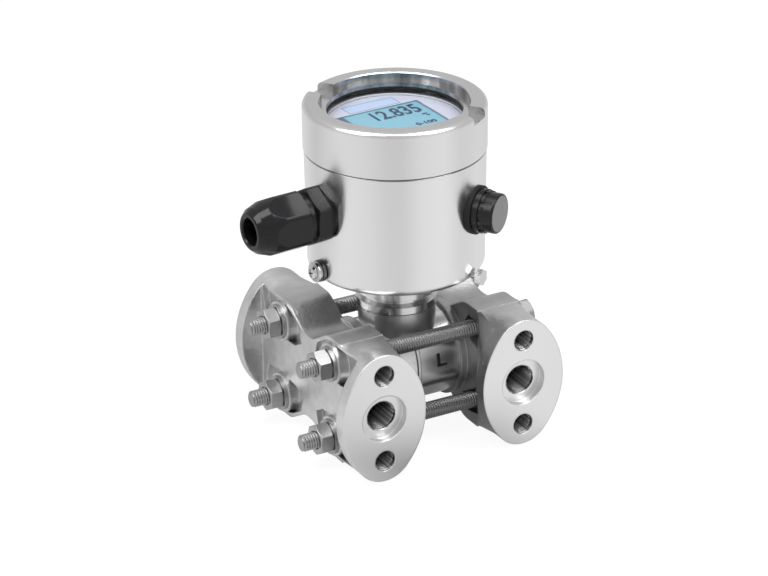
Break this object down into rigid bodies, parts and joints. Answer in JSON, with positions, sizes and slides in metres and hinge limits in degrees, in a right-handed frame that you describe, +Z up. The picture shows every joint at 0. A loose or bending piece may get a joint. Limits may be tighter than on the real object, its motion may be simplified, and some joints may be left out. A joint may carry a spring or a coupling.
{
  "type": "differential pressure transmitter",
  "caption": "Differential pressure transmitter with a round steel housing, screwed window cover, cable gland and a measuring cell clamped between two oval process flanges.",
  "frame": {"origin": "centre of the four tapped holes in the two front oval process faces: midway between the ports, on the port axes' height, in the plane of the faces", "axes": "+Z up along the housing axis, +X along the clamp bolts from the high pressure side to the low pressure side, -Y out of the front process faces"},
  "size_m": [0.1309, 0.1048, 0.1545],
  "materials": {
    "cast_steel": "cast and pickled, faces machined",
    "satin_steel": "satin turned",
    "polished_steel": "polished",
    "cell_steel": "fine turned",
    "neck_steel": "matte blasted",
    "bolt_steel": "rolled thread",
    "screw_steel": "bright",
    "dark_steel": "dark",
    "black_rubber": "matte",
    "black_nylon": "fine matte",
    "window": "clear",
    "face_white": "matte",
    "tray_grey": "matte",
    "lcd": "gloss",
    "key_grey": "matte",
    "board_green": "satin",
    "terminal_green": "matte"
  },
  "bodies": {
    "base": {"flange_high": "cast_steel", "flange_low": "cast_steel", "clamp_bolts": "bolt_steel", "clamp_nuts": "bolt_steel", "clamp_washers": "bolt_steel", "port_plugs": "screw_steel", "measuring_cell": "cell_steel", "cell_diaphragm_high": "screw_steel", "cell_diaphragm_low": "screw_steel", "cell_seal_high": "black_rubber", "cell_seal_low": "black_rubber", "cell_neck": "neck_steel", "neck_oring": "black_rubber", "swivel_clip": "screw_steel"},
    "head": {"housing": "satin_steel", "swivel_ring": "polished_steel", "cover_oring": "black_rubber", "display_face": "face_white", "lcd_panel": "lcd", "display_board": "board_green", "display_tray": "tray_grey", "main_board": "board_green", "board_spacers": "screw_steel", "display_spacers": "screw_steel", "terminal_block": "terminal_green", "terminal_screws": "screw_steel", "gland_seal": "black_rubber", "gland_body": "black_nylon", "plug_seal": "black_rubber", "blanking_plug": "black_nylon", "ground_washer": "dark_steel", "ground_clamp": "screw_steel", "ground_screw": "screw_steel", "lock_screw": "screw_steel"},
    "window": {"window_glass": "window", "window_gasket": "black_rubber", "window_retainer": "screw_steel"},
    "cover": {"cover_ring": "satin_steel"},
    "insert": {"gland_insert": "black_rubber"},
    "cap": {"gland_cap": "black_nylon"},
    "key_left": {"key_left": "key_grey"},
    "key_middle": {"key_middle": "key_grey"},
    "key_right": {"key_right": "key_grey"}
  },
  "joints": [
    {"name": "housing_turn", "type": "hinge", "parent": "base", "child": "head", "pos_m": [0, 0.0524, 0.03], "axis": [0, 0, 1], "range_deg": [-175, 175]},
    {"name": "cover_lift", "type": "slide", "parent": "head", "child": "window", "axis": [0, 0, 1], "range_m": [0, 0.0091]},
    {"name": "cover_turn", "type": "hinge", "parent": "window", "child": "cover", "pos_m": [0, 0.0524, 0.11], "axis": [0, 0, 1], "range_deg": [0, 1620]},
    {"name": "gland_slide", "type": "slide", "parent": "head", "child": "insert", "axis": [-0.9976, -0.0698, 0], "range_m": [0, 0.006]},
    {"name": "gland_turn", "type": "hinge", "parent": "insert", "child": "cap", "pos_m": [-0.05487, 0.04856, 0.0793], "axis": [-0.9976, -0.0698, 0], "range_deg": [0, 1445]},
    {"name": "press_key_left", "type": "slide", "parent": "head", "child": "key_left", "axis": [0, 0, -1], "range_m": [0, 0.0005], "stiffness_N_per_m": 500},
    {"name": "press_key_middle", "type": "slide", "parent": "head", "child": "key_middle", "axis": [0, 0, -1], "range_m": [0, 0.0005], "stiffness_N_per_m": 500},
    {"name": "press_key_right", "type": "slide", "parent": "head", "child": "key_right", "axis": [0, 0, -1], "range_m": [0, 0.0005], "stiffness_N_per_m": 500}
  ],
  "couplings": [
    {"joint": "cover_lift", "follows": "cover_turn", "m_per_rad": 0.00031831},
    {"joint": "gland_turn", "follows": "gland_slide", "rad_per_m": 4188.8}
  ]
}
